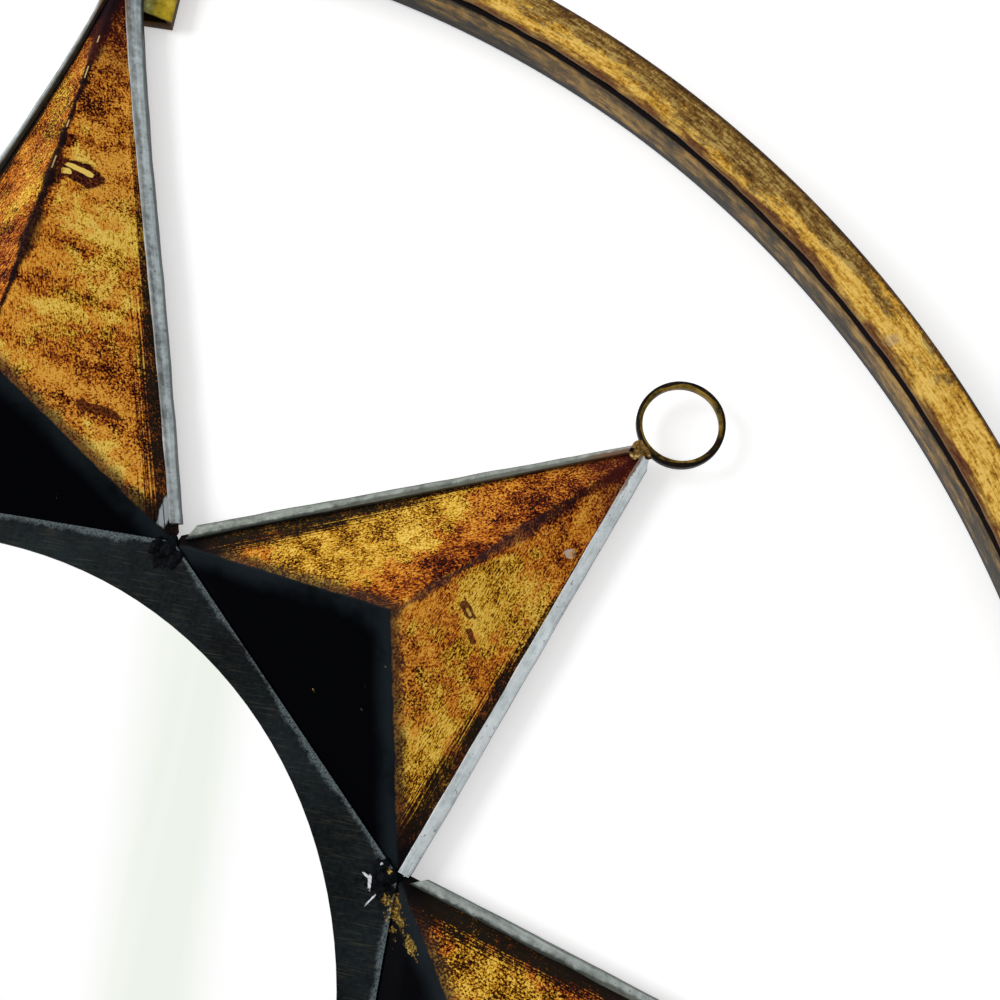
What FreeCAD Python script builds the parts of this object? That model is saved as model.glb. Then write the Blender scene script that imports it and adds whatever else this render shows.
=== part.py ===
import FreeCAD, Part
import math
import os
import re
import Sketcher

# Sunburst mirror: a round glass in the middle of a star of eight folded sheet rays, inside a hoop.
# Every piece is drawn lying on its back: X runs out along its ray, Y across it, and Z comes forward
# from the wall. upright() then turns it into place, with the front towards -Y and the top at +Z.
# The origin is the middle of the mirror, on the wall.

doc = FreeCAD.newDocument("SunburstMirror")

# Long and short rays by turns, in order round the mirror from the right
ray_places = [
    "right", "upper_right", "top", "upper_left", "left", "lower_left", "bottom", "lower_right",
]
sector_angle = 360 / len(ray_places)
ray_angles = {place: sector_angle * step for step, place in enumerate(ray_places)}
long_places = ray_places[0::2]
short_places = ray_places[1::2]
quarter_turn = 90
lump_slope_shares = (0, 0.4, 0.7)
lump_sides = 8

sizes = {
    # Middle: plate, glass, card and pan
    "opening_radius": 115.0,
    "plate_band": 7.3,
    "plate_sheet": 0.8,
    "glass_overlap": 4.0,
    "glass_thickness": 3.0,
    "pan_sheet": 0.8,
    "pan_clearance": 0.4,
    "pan_flange": 3.7,
    # Rays
    "ray_sheet": 0.8,
    "foot_gap": 0.3,
    "foot_lip": 2.6,
    "corner_gap": 0.6,
    "short_ray_length": 111.8,
    "long_ray_length": 162.4,
    "peak_distance": 34.7,
    "peak_height": 23.0,
    # Edge strips
    "strip_width": 3.6,
    "strip_height": 3.7,
    "strip_rim": 1.5,
    "strip_floor": 0.7,
    "strip_wall": 1.0,
    "strip_round": 0.9,
    "slot_clearance": 0.1,
    "valley_gap": 5.0,
    # Tip rings
    "ring_radius": 11.7,
    "ring_wall": 1.6,
    "ring_depth": 3.2,
    "ring_gap": 0.4,
    # Hoop
    "tip_room": 13.5,
    "hoop_width": 10.2,
    "hoop_lean": 2.7,
    "hoop_depth": 22.0,
    "hoop_sheet": 1.0,
    "hoop_corner": 1.2,
    "seam_gap": 1.8,
    "seam_fold": 4.0,
    "seam_setback": 0.5,
    # Tie brackets
    "bracket_length": 28.6,
    "bracket_width": 22.0,
    "bracket_shift": 5.3,
    "bracket_overhang": 2.4,
    "bracket_height": 5.5,
    "bracket_sheet": 1.0,
    "bracket_slit": 1.5,
    "joint_gap": 0.3,
    # Hanger strap
    "strap_distance": 82.5,
    "strap_width": 14.0,
    "strap_thickness": 1.5,
    "strap_inset": 0.5,
    "hook_radius": 4.0,
    # Welds
    "valley_weld_radius": 4.8,
    "valley_weld_height": 2.6,
    "valley_weld_inset": 2.0,
    "ring_weld_radius": 2.0,
    "ring_weld_height": 3.0,
    "cut_overrun": 1.0,
}

# Places and sizes that follow from the sheet. Heights are measured forward from the wall.
derived = {
    "half_sector": f"{sector_angle / 2} deg",
    "plate_reach": "opening_radius + plate_band",
    "plate_corner": "plate_reach / cos(half_sector)",
    "glass_radius": "opening_radius + glass_overlap",
    "pan_radius": "glass_radius + pan_clearance",
    "ray_foot": "plate_reach + foot_gap",
    "foot_half": "ray_foot * tan(half_sector) - corner_gap / cos(half_sector)",
    "foot_slope": "atan(peak_height / peak_distance)",
    "slot_height": "ray_sheet + 2 * slot_clearance",
    "lip_reach": "strip_width - strip_wall - slot_clearance",
    "strip_slope": "atan((strip_height - strip_rim) / strip_width)",
    "star_back": "bracket_height",
    "lip_back": "star_back + strip_floor + slot_clearance",
    "lip_front": "lip_back + ray_sheet",
    "plate_front": "lip_front + plate_sheet",
    "glass_back": "lip_front - glass_thickness",
    "short_tip": "ray_foot + short_ray_length",
    "long_tip": "ray_foot + long_ray_length",
    "ring_middle": "short_tip + ring_gap + ring_radius",
    "hoop_back_radius": "long_tip + tip_room",
    "hoop_front_radius": "hoop_back_radius - hoop_lean",
    "hoop_outer": "hoop_back_radius + hoop_width",
    "fold_height": "hoop_depth - hoop_sheet - seam_gap",
    "bracket_start": "hoop_back_radius - joint_gap - bracket_length",
    "strap_middle": "ray_foot + strap_distance",
}

sheet = doc.addObject("Spreadsheet::Sheet", "Sizes")
for row, (alias, size) in enumerate(sizes.items(), start=1):
    sheet.set(f"A{row}", alias)
    sheet.set(f"B{row}", str(size))
    sheet.setAlias(f"B{row}", alias)
doc.recompute()

pieces = []


def formula(text):
    """Write every name in the text in terms of the sheet's cells."""
    def cell(match):
        name = match.group()
        if name in derived:
            return f"({formula(derived[name])})"
        return f"Sizes.{name}" if name in sizes else name
    return re.sub(r"[a-z_]+", cell, text)


def number(text):
    result = sheet.evalExpression(formula(text))
    return float(getattr(result, "Value", result))


def upright(angle):
    """Stand a piece up against the wall, with its X axis at this angle from the right."""
    turn = FreeCAD.Rotation(FreeCAD.Vector(0, 1, 0), -angle)
    stand = FreeCAD.Rotation(FreeCAD.Vector(1, 0, 0), quarter_turn)
    return FreeCAD.Placement(FreeCAD.Vector(), turn * stand)


def finish(piece, label, angle=0, local=FreeCAD.Placement()):
    piece.Label = label
    piece.Placement = upright(angle) * local
    pieces.append(piece)


def bind(thing, **texts):
    for name, text in texts.items():
        thing.setExpression(name.replace("__", "."), formula(text))


def new_sketch(body, name, role, height="0"):
    plane = next(item for item in body.Origin.OriginFeatures if item.Role == role)
    sketch = body.newObject("Sketcher::SketchObject", name)
    sketch.AttachmentSupport = [(plane, "")]
    sketch.MapMode = "FlatFace"
    bind(sketch, AttachmentOffset__Base__z=height)
    return sketch


def pin(sketch, geometry, end, x, y):
    """Hold one point of the sketch at the place that two formulas give."""
    for kind, axis, text in (("DistanceX", -2, x), ("DistanceY", -1, y)):
        if text == "0":
            sketch.addConstraint(Sketcher.Constraint("PointOnObject", geometry, end, axis))
            continue
        index = sketch.addConstraint(Sketcher.Constraint(kind, -1, 1, geometry, end, number(text)))
        sketch.setExpression(f"Constraints[{index}]", formula(text))


def add_loop(sketch, corners):
    """Closed outline of straight lines through corners given as pairs of formulas."""
    places = [FreeCAD.Vector(number(x), number(y), 0) for x, y in corners]
    lines = [
        sketch.addGeometry(Part.LineSegment(start, end))
        for start, end in zip(places, places[1:] + places[:1])
    ]
    for line, after in zip(lines, lines[1:] + lines[:1]):
        sketch.addConstraint(Sketcher.Constraint("Coincident", line, 2, after, 1))
    for line, (x, y) in zip(lines, corners):
        pin(sketch, line, 1, x, y)


def add_circle(sketch, x, y, radius):
    place = FreeCAD.Vector(number(x), number(y), 0)
    circle = sketch.addGeometry(Part.Circle(place, FreeCAD.Vector(0, 0, 1), number(radius)))
    pin(sketch, circle, 3, x, y)
    index = sketch.addConstraint(Sketcher.Constraint("Radius", circle, number(radius)))
    sketch.setExpression(f"Constraints[{index}]", formula(radius))


def pad(body, sketch, length):
    feature = body.newObject("PartDesign::Pad", sketch.Name + "Pad")
    feature.Profile = sketch
    bind(feature, Length=length)
    doc.recompute()
    return feature


def revolve(body, sketch):
    feature = body.newObject("PartDesign::Revolution", sketch.Name + "Turn")
    feature.Profile = sketch
    feature.ReferenceAxis = (sketch, ["V_Axis"])
    feature.Angle = 360
    doc.recompute()
    return feature


def ease_edges(body, feature, chosen, kind, **size):
    """Fillet or chamfer the edges of the feature for which chosen(edge) holds."""
    names = [f"Edge{i}" for i, edge in enumerate(feature.Shape.Edges, start=1) if chosen(edge)]
    eased = body.newObject(f"PartDesign::{kind}", feature.Name + kind)
    eased.Base = (feature, names)
    bind(eased, **size)
    doc.recompute()
    return eased


def side_angle(length):
    """Angle between a ray's axis and its long edges."""
    return f"atan(foot_half / {length})"


def side_length(length):
    return f"sqrt({length} * {length} + foot_half * foot_half)"


def strip_start(length, y):
    """Place along a long edge where the strip begins, beside the valley, y out from the edge."""
    angle = f"({side_angle(length)} + half_sector)"
    return f"((valley_gap / 2 - corner_gap + ({y}) * cos{angle}) / sin{angle})"


def strip_end(length, y):
    """Place along a long edge where the strip is cut off square to the ray."""
    return f"({side_length(length)} - ({y}) * tan({side_angle(length)}))"


def beside_edge(length, side, x, y):
    """Place on a ray from the distance x along its long edge and y out from it."""
    angle = side_angle(length)
    return (
        f"ray_foot + {x} * cos({angle}) + ({y}) * sin({angle})",
        f"{side} * (foot_half - {x} * sin({angle}) + ({y}) * cos({angle}))",
    )


def make_centre_plate():
    body = doc.addObject("PartDesign::Body", "CentrePlate")
    sketch = new_sketch(body, "PlateOutline", "XY_Plane", "lip_front")
    corners = []
    for step in range(len(ray_places)):
        angle = f"(half_sector * {2 * step + 1})"
        corners.append((f"plate_corner * cos{angle}", f"plate_corner * sin{angle}"))
    add_loop(sketch, corners)
    add_circle(sketch, "0", "0", "opening_radius")
    pad(body, sketch, "plate_sheet")
    finish(body, "centre_plate")


def make_disc(name, label, radius, back, thickness):
    disc = doc.addObject("Part::Cylinder", name)
    bind(disc, Radius=radius, Height=thickness)
    finish(disc, label, 0, FreeCAD.Placement(FreeCAD.Vector(0, 0, number(back)), FreeCAD.Rotation()))


def make_back_pan():
    body = doc.addObject("PartDesign::Body", "BackPan")
    sketch = new_sketch(body, "PanSection", "XZ_Plane")
    add_loop(sketch, [
        ("0", "0"),
        ("pan_radius + pan_sheet", "0"),
        ("pan_radius + pan_sheet", "lip_back - pan_sheet"),
        ("pan_radius + pan_flange", "lip_back - pan_sheet"),
        ("pan_radius + pan_flange", "lip_back"),
        ("pan_radius", "lip_back"),
        ("pan_radius", "pan_sheet"),
        ("0", "pan_sheet"),
    ])
    revolve(body, sketch)
    finish(body, "back_pan")


def make_ray(name, label, angle, length):
    """Three sloping faces folded from one sheet, open at the back, with a lip along each side."""
    body = doc.addObject("PartDesign::Body", name)
    foot = new_sketch(body, name + "Foot", "XY_Plane", "lip_front")
    tip = f"ray_foot + {length}"
    add_loop(foot, [("ray_foot", "-foot_half"), (tip, "0"), ("ray_foot", "foot_half")])
    peak = new_sketch(body, name + "Peak", "XY_Plane", "lip_front + peak_height")
    peak.addGeometry(Part.Point(FreeCAD.Vector(number("ray_foot + peak_distance"), 0, 0)))
    pin(peak, 0, 1, "ray_foot + peak_distance", "0")
    pyramid = body.newObject("PartDesign::AdditiveLoft", name + "Pyramid")
    pyramid.Profile = foot
    pyramid.Sections = [peak]
    pyramid.Ruled = True
    doc.recompute()

    back = min(range(len(pyramid.Shape.Faces)), key=lambda i: pyramid.Shape.Faces[i].CenterOfMass.z)
    shell = body.newObject("PartDesign::Thickness", name + "Sheet")
    shell.Base = (pyramid, [f"Face{back + 1}"])
    shell.Join = 1
    shell.Reversed = True
    bind(shell, Value="ray_sheet")
    doc.recompute()

    lips = new_sketch(body, name + "Lips", "XY_Plane", "lip_back")
    lip_foot = "ray_foot - foot_lip"
    lip_half = f"({lip_foot}) * tan(half_sector) - corner_gap / cos(half_sector)"
    halves = {}
    for side in (-1, 1):
        halves[side] = [
            (lip_foot, f"{side} * ({lip_half})"),
            ("ray_foot", f"{side} * foot_half"),
            beside_edge(length, side, strip_start(length, "0"), "0"),
            beside_edge(length, side, strip_start(length, "lip_reach"), "lip_reach"),
            beside_edge(length, side, strip_end(length, "lip_reach"), "lip_reach"),
        ]
    add_loop(lips, halves[-1] + halves[1][::-1])
    inset_tip = f"{length} - ray_sheet / sin({side_angle(length)})"
    inset_half = f"({inset_tip} - ray_sheet) * tan({side_angle(length)})"
    add_loop(lips, [
        ("ray_foot + ray_sheet", f"-({inset_half})"),
        (f"ray_foot + {inset_tip}", "0"),
        ("ray_foot + ray_sheet", inset_half),
    ])
    pad(body, lips, "ray_sheet")
    finish(body, label, angle)


def make_edge_strip(name, label, angle, length, side):
    """U-shaped strip that grips the lip along one long edge, with a front that slopes outwards."""
    body = doc.addObject("PartDesign::Body", name)
    section = new_sketch(body, name + "Section", "YZ_Plane")
    slot_front = "star_back + strip_floor + slot_height"
    slot_end = f"{side} * (strip_width - strip_wall)"
    add_loop(section, [
        ("0", "star_back"),
        (f"{side} * strip_width", "star_back"),
        (f"{side} * strip_width", "star_back + strip_rim"),
        ("0", "star_back + strip_height"),
        ("0", slot_front),
        (slot_end, slot_front),
        (slot_end, "star_back + strip_floor"),
        ("0", "star_back + strip_floor"),
    ])
    bar = pad(body, section, side_length(length))
    outside = number(f"{side} * strip_width")
    rim = number("star_back + strip_rim")

    def outer_front(edge):
        place = edge.CenterOfMass
        return abs(place.y - outside) + abs(place.z - rim) < Part.Precision.confusion()

    bar = ease_edges(body, bar, outer_front, "Fillet", Radius="strip_round")

    ends = new_sketch(body, name + "Ends", "XY_Plane")
    near, far = "-cut_overrun", "strip_width + cut_overrun"
    beyond = f"{side_length(length)} + cut_overrun"
    add_loop(ends, [
        (strip_start(length, near), f"{side} * ({near})"),
        (strip_start(length, far), f"{side} * ({far})"),
        (near, f"{side} * ({far})"),
        (near, f"{side} * ({near})"),
    ])
    add_loop(ends, [
        (strip_end(length, near), f"{side} * ({near})"),
        (beyond, f"{side} * ({near})"),
        (beyond, f"{side} * ({far})"),
        (strip_end(length, far), f"{side} * ({far})"),
    ])
    trim = body.newObject("PartDesign::Pocket", name + "Trim")
    trim.Profile = ends
    trim.Type = "ThroughAll"
    trim.Midplane = True
    doc.recompute()
    if not trim.Shape.Volume < bar.Shape.Volume:
        raise RuntimeError(label + ": the ends were not cut")

    corner = FreeCAD.Vector(number("ray_foot"), number(f"{side} * foot_half"), 0)
    lean = FreeCAD.Rotation(FreeCAD.Vector(0, 0, 1), -side * number(side_angle(length)))
    finish(body, label, angle, FreeCAD.Placement(corner, lean))


def make_tip_ring(name, label, angle):
    body = doc.addObject("PartDesign::Body", name)
    sketch = new_sketch(body, name + "Section", "XY_Plane", "star_back")
    add_circle(sketch, "ring_middle", "0", "ring_radius")
    add_circle(sketch, "ring_middle", "0", "ring_radius - ring_wall")
    pad(body, sketch, "ring_depth")
    finish(body, label, angle)


def make_hoop():
    """Rolled sheet section: the inner wall folds in under the front band and leaves an open seam."""
    body = doc.addObject("PartDesign::Body", "Hoop")
    section = new_sketch(body, "HoopSection", "XZ_Plane")
    outer_corners = [
        ("hoop_outer", "hoop_depth"),
        ("hoop_outer", "0"),
        ("hoop_back_radius", "0"),
        ("hoop_front_radius", "fold_height"),
    ]
    inside_front = "hoop_depth - hoop_sheet"
    inside_fold = "fold_height - hoop_sheet"
    free_edge = "hoop_front_radius + seam_setback"
    add_loop(section, [
        (free_edge, "hoop_depth"),
        *outer_corners,
        ("hoop_front_radius + seam_fold", "fold_height"),
        ("hoop_front_radius + seam_fold", inside_fold),
        ("hoop_front_radius + hoop_sheet", inside_fold),
        ("hoop_back_radius + hoop_sheet", "hoop_sheet"),
        ("hoop_outer - hoop_sheet", "hoop_sheet"),
        ("hoop_outer - hoop_sheet", inside_front),
        (free_edge, inside_front),
    ])
    tube = revolve(body, section)
    eased = [(number(radius), number(height)) for radius, height in outer_corners]

    def on_corner(edge):
        if not isinstance(edge.Curve, Part.Circle):
            return False
        place = edge.Curve.Radius, edge.Curve.Center.z
        return any(abs(place[0] - r) + abs(place[1] - z) < Part.Precision.confusion() for r, z in eased)

    ease_edges(body, tube, on_corner, "Chamfer", Size="hoop_corner")
    finish(body, "hoop")


def make_box(name, x, y, z, length, width, height):
    box = doc.addObject("Part::Box", name)
    bind(box, Length=length, Width=width, Height=height)
    bind(box, Placement__Base__x=x, Placement__Base__y=y, Placement__Base__z=z)
    return box


def make_tie_bracket(name, label, angle):
    """Folded tray under a wider front sheet, with a turned-up inner end that leaves a slit."""
    length = "bracket_length + cut_overrun"
    side = "-bracket_shift - bracket_width / 2"
    tray_side = f"{side} + bracket_overhang"
    tray_width = "bracket_width - 2 * bracket_overhang"
    inner_side = f"{tray_side} + bracket_sheet"
    inner_width = f"{tray_width} - 2 * bracket_sheet"
    inside_front = "bracket_height - bracket_sheet"
    front = make_box(name + "Front", "bracket_start", side, inside_front,
                     length, "bracket_width", "bracket_sheet")
    tray = make_box(name + "Tray", "bracket_start", tray_side, "0", length, tray_width, inside_front)
    hollow = make_box(name + "Hollow", "bracket_start + bracket_sheet", inner_side, "bracket_sheet",
                      length, inner_width, f"{inside_front} - bracket_sheet")
    slit_base = f"{inside_front} - bracket_slit"
    slit = make_box(name + "Slit", "bracket_start - cut_overrun", inner_side, slit_base,
                    "bracket_sheet + 2 * cut_overrun", inner_width, "bracket_slit")
    block = doc.addObject("Part::MultiFuse", name + "Block")
    block.Shapes = [front, tray]
    voids = doc.addObject("Part::MultiFuse", name + "Voids")
    voids.Shapes = [hollow, slit]
    folded = doc.addObject("Part::Cut", name + "Folded")
    folded.Base = block
    folded.Tool = voids
    wall = doc.addObject("Part::Cone", name + "Wall")
    bind(wall, Radius1="hoop_back_radius - joint_gap", Radius2="hoop_front_radius - joint_gap")
    bind(wall, Height="fold_height")
    bracket = doc.addObject("Part::Common", name)
    bracket.Base = folded
    bracket.Tool = wall
    finish(bracket, label, angle)


def make_hanger_strap():
    """Strap across the back of the top ray, with the hole that goes over the wall hook."""
    body = doc.addObject("PartDesign::Body", "HangerStrap")
    sketch = new_sketch(body, "StrapOutline", "XY_Plane", "star_back - strap_thickness")
    angle = side_angle("long_ray_length")
    lower = "strap_middle - strap_width / 2"
    upper = "strap_middle + strap_width / 2"
    edge_tip = f"long_tip + strip_width / sin({angle})"
    lower_half = f"({edge_tip} - ({lower})) * tan({angle}) - strap_inset"
    upper_half = f"({edge_tip} - ({upper})) * tan({angle}) - strap_inset"
    add_loop(sketch, [
        (lower, f"-({lower_half})"),
        (upper, f"-({upper_half})"),
        (upper, upper_half),
        (lower, lower_half),
    ])
    add_circle(sketch, "strap_middle", "0", "hook_radius")
    pad(body, sketch, "strap_thickness")
    finish(body, "hanger_strap", ray_angles["top"])


def half_space(place):
    """Large block that fills the space behind a plane, given as the placement of its front."""
    reach = 2 * number("hoop_outer")
    block = Part.makeBox(reach, reach, reach, FreeCAD.Vector(-reach / 2, -reach / 2, -reach))
    block.Placement = place
    return block


def below_foot_face(side):
    """Space behind the sloping foot face of the ray on one side of a valley."""
    slope = FreeCAD.Rotation(FreeCAD.Vector(0, 1, 0), -number("foot_slope"))
    foot = FreeCAD.Vector(number("ray_foot"), 0, number("lip_front"))
    turn = FreeCAD.Rotation(FreeCAD.Vector(0, 0, 1), side * sector_angle / 2)
    return half_space(FreeCAD.Placement(FreeCAD.Vector(), turn) * FreeCAD.Placement(foot, slope))


def below_strip_front(side):
    """Space behind the sloping front of the strip on one side of a short ray's tip."""
    slope = FreeCAD.Rotation(FreeCAD.Vector(1, 0, 0), -side * number("strip_slope"))
    lean = FreeCAD.Rotation(FreeCAD.Vector(0, 0, 1), -side * number(side_angle("short_ray_length")))
    tip = FreeCAD.Vector(number("short_tip"), 0, number("star_back + strip_height"))
    return half_space(FreeCAD.Placement(tip, lean * slope))


def weld_lump(middle, radius, height):
    """Low dome of flat facets, set with its base at this place."""
    rings = []
    for share in lump_slope_shares:
        slope = math.radians(quarter_turn * share)
        rise = FreeCAD.Vector(0, 0, height * math.sin(slope))
        corner = FreeCAD.Vector(radius * math.cos(slope), 0, 0)
        steps = range(lump_sides + 1)
        turns = [FreeCAD.Rotation(FreeCAD.Vector(0, 0, 1), 360 * i / lump_sides) for i in steps]
        rings.append(Part.makePolygon([middle + rise + turn.multVec(corner) for turn in turns]))
    return Part.makeLoft(rings, True, True)


def make_group(name, label, lump, angles):
    """One node of like solids: the lump repeated at each angle round the middle."""
    copies = []
    for angle in angles:
        copy = lump.copy()
        copy.rotate(FreeCAD.Vector(), FreeCAD.Vector(0, 0, 1), angle)
        copies.append(copy)
    group = doc.addObject("Part::Feature", name)
    group.Shape = Part.makeCompound(copies)
    finish(group, label)


def make_valley_welds():
    """Lumps on the corners of the plate, seated on it and on the foot faces of both rays."""
    middle = FreeCAD.Vector(number("plate_corner - valley_weld_inset"), 0, number("plate_front"))
    lump = weld_lump(middle, number("valley_weld_radius"), number("valley_weld_height"))
    lump = lump.cut([below_foot_face(-1), below_foot_face(1)])
    valleys = [angle + sector_angle / 2 for angle in ray_angles.values()]
    make_group("ValleyWelds", "valley_welds", lump.Solids[0], valleys)


def make_ring_welds():
    """Lumps on the blunt tips of the short rays, seated on both strips, against the rings."""
    base = "star_back + strip_height - ring_weld_radius * tan(strip_slope)"
    middle = FreeCAD.Vector(number("short_tip - ring_weld_radius"), 0, number(base))
    lump = weld_lump(middle, number("ring_weld_radius"), number("ring_weld_height"))
    lump = lump.cut([below_strip_front(-1), below_strip_front(1)])
    make_group("RingWelds", "ring_welds", lump.Solids[0], [ray_angles[place] for place in short_places])


def as_name(*words):
    return "".join(word.title() for text in words for word in text.split("_"))


make_centre_plate()
make_disc("MirrorGlass", "mirror_glass", "glass_radius", "glass_back", "glass_thickness")
make_disc("CardPad", "card_pad", "glass_radius", "pan_sheet", "glass_back - pan_sheet")
make_back_pan()
for place, angle in ray_angles.items():
    kind = "long" if place in long_places else "short"
    ray_length = f"{kind}_ray_length"
    make_ray(as_name(kind, "ray", place), f"{kind}_ray_{place}", angle, ray_length)
    for hand, side in (("left", 1), ("right", -1)):
        strip = f"edge_strip_{place}_{hand}"
        make_edge_strip(as_name(strip), strip, angle, ray_length, side)
for place in short_places:
    make_tip_ring(as_name("tip_ring", place), f"tip_ring_{place}", ray_angles[place])
for place in long_places:
    make_tie_bracket(as_name("tie_bracket", place), f"tie_bracket_{place}", ray_angles[place])
make_hoop()
make_hanger_strap()
doc.recompute()
make_valley_welds()
make_ring_welds()
doc.recompute()

for item in doc.Objects:
    if "Invalid" in item.State or "Error" in item.State:
        raise RuntimeError(f"{item.Name} did not recompute: {item.State}")
for piece in pieces:
    if piece.Shape.isNull() or not piece.Shape.isValid() or not piece.Shape.Solids:
        raise RuntimeError(piece.Label + " has no valid solid")

os.makedirs("parts", exist_ok=True)
for piece in pieces:
    piece.Shape.exportStep(f"parts/{piece.Label}.step")
print(len(pieces), "pieces written")
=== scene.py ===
import bmesh
import bpy
import itertools
import math
from mathutils import Matrix, Vector
from mathutils.geometry import intersect_point_line


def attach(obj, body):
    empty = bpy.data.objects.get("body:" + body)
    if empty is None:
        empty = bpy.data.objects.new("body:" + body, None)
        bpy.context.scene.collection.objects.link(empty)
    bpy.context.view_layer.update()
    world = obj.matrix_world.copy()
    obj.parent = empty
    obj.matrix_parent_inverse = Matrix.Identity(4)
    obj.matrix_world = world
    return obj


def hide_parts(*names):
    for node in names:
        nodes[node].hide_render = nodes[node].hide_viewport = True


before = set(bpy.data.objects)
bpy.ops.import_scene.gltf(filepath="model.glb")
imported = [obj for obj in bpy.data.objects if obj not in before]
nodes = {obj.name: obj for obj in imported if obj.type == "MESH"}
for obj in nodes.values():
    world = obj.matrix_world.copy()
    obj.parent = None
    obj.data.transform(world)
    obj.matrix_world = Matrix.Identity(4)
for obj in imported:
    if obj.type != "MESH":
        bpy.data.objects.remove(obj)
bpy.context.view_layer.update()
mm = 0.001
sector = math.radians(45)
places = ["right", "upper_right", "top", "upper_left", "left", "lower_left", "bottom", "lower_right"]
turns = {place: sector * step for step, place in enumerate(places)}
groups = {"long": places[0::2], "short": places[1::2]}
hands = {"left": 1, "right": -1}
print("frame loaded:", len(nodes), "nodes")


def chosen(table, place, hand):  # the value for one edge of a ray, or else for all edges on that hand
    return table.get(f"{place}_{hand}", table[hand])


# Small helpers for modelling by operators

def beginEdit():
    bpy.ops.object.mode_set(mode="EDIT")


def endEdit():
    bpy.ops.object.mode_set(mode="OBJECT")


def pick(kind, test):  # selects, in edit mode, the parts of one kind that pass the test
    bpy.ops.mesh.select_mode(type=kind)
    bpy.ops.mesh.select_all(action="DESELECT")
    data = bpy.context.object.data
    shape = bmesh.from_edit_mesh(data)
    parts = {"VERT": shape.verts, "EDGE": shape.edges, "FACE": shape.faces}[kind]
    for part in parts:
        if test(part):
            part.select_set(True)
    shape.select_flush_mode()
    bmesh.update_edit_mesh(data)


def movePoint(test, target):  # brings the one point that passes the test to its place
    pick("VERT", test)
    shape = bmesh.from_edit_mesh(bpy.context.object.data)
    start = next(point.co.copy() for point in shape.verts if point.select)
    bpy.ops.transform.translate(value=target - start)


def pickAll():
    bpy.ops.mesh.select_all(action="SELECT")


def cut(point, direction, **settings):  # a line of new points where a plane meets the mesh
    pickAll()
    bpy.ops.mesh.bisect(plane_co=point, plane_no=direction, **settings)


def cutAway(point, direction, fill=False):  # removes what lies past a plane
    cut(point, direction, clear_outer=True, use_fill=fill)


def faceOutward():
    pickAll()
    bpy.ops.mesh.normals_make_consistent(inside=False)


def same(first, second):
    return abs(first - second) < 1e-6


def midpoint(edge):
    return (edge.verts[0].co + edge.verts[1].co) / 2


def selectOnly(*pieces):  # the first piece becomes the active one
    bpy.ops.object.select_all(action="DESELECT")
    for piece in pieces:
        piece.select_set(True)
    bpy.context.view_layer.objects.active = pieces[0]


def applyAll(piece):
    selectOnly(piece)
    for modifier in list(piece.modifiers):
        bpy.ops.object.modifier_apply(modifier=modifier.name)


def bakePlace(piece, matrix):  # moves the mesh itself, so that the object stays at the origin
    selectOnly(piece)
    piece.matrix_world = matrix
    bpy.ops.object.transform_apply()


def stand(piece, turn):  # from a piece drawn on its back, X out along its ray, to its place on the wall
    bakePlace(piece, Matrix.Rotation(-turn, 4, "Y") @ Matrix.Rotation(math.radians(90), 4, "X"))


def copyPiece(piece, name):
    twin = piece.copy()
    twin.data = piece.data.copy()
    twin.name = twin.data.name = name
    bpy.context.scene.collection.objects.link(twin)
    return twin


def makeWobble(name, size):  # soft lumps for the Displace modifier
    wobble = bpy.data.textures.new(name, "CLOUDS")
    wobble.noise_scale = size * mm
    wobble.noise_depth = 1
    return wobble


def addModifier(piece, kind, **settings):
    modifier = piece.modifiers.new(kind.lower(), kind)
    for name, value in settings.items():
        setattr(modifier, name, value)


def addWobble(piece, wobble, height):
    addModifier(piece, "DISPLACE", texture=wobble, texture_coords="LOCAL", strength=height * mm)


def addShell(piece, thickness):  # sheet that lies behind the drawn face
    addModifier(piece, "SOLIDIFY", thickness=thickness * mm, offset=-1)


def addSoft(piece, width, segments):  # rounds the sharp edges
    addModifier(piece, "BEVEL", width=width * mm, segments=segments, limit_method="ANGLE")


def writeAttribute(piece, name, value):  # value(point) gives three numbers for each point
    data = piece.data.attributes.new(name, "FLOAT_VECTOR", "POINT")
    for point, entry in zip(piece.data.vertices, data.data):
        entry.vector = value(point.co)


def dress(piece, finish):
    piece.data.materials.clear()
    piece.data.materials.append(finish)


def settle(piece, finish, replaced, degrees=40):  # the last steps of every piece
    applyAll(piece)
    bpy.ops.object.shade_smooth_by_angle(angle=math.radians(degrees))
    dress(piece, finish)
    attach(piece, "root")
    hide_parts(replaced)


# Shader maths: a Flow is one socket, and plain maths on it adds Math nodes

def bothWays(operation):  # an operator and its reflected form
    def plain(self, other):
        return self.finish.maths(operation, self, other)

    def reflected(self, other):
        return self.finish.maths(operation, other, self)

    return plain, reflected


class Flow:
    __add__, __radd__ = bothWays("ADD")
    __sub__, __rsub__ = bothWays("SUBTRACT")
    __mul__, __rmul__ = bothWays("MULTIPLY")
    __truediv__, __rtruediv__ = bothWays("DIVIDE")

    def __init__(self, finish, socket):
        self.finish = finish
        self.socket = socket

    def sway(self, amount):  # turns a noise about 0.5 into a swing about zero
        return (self - 0.5) * amount


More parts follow.
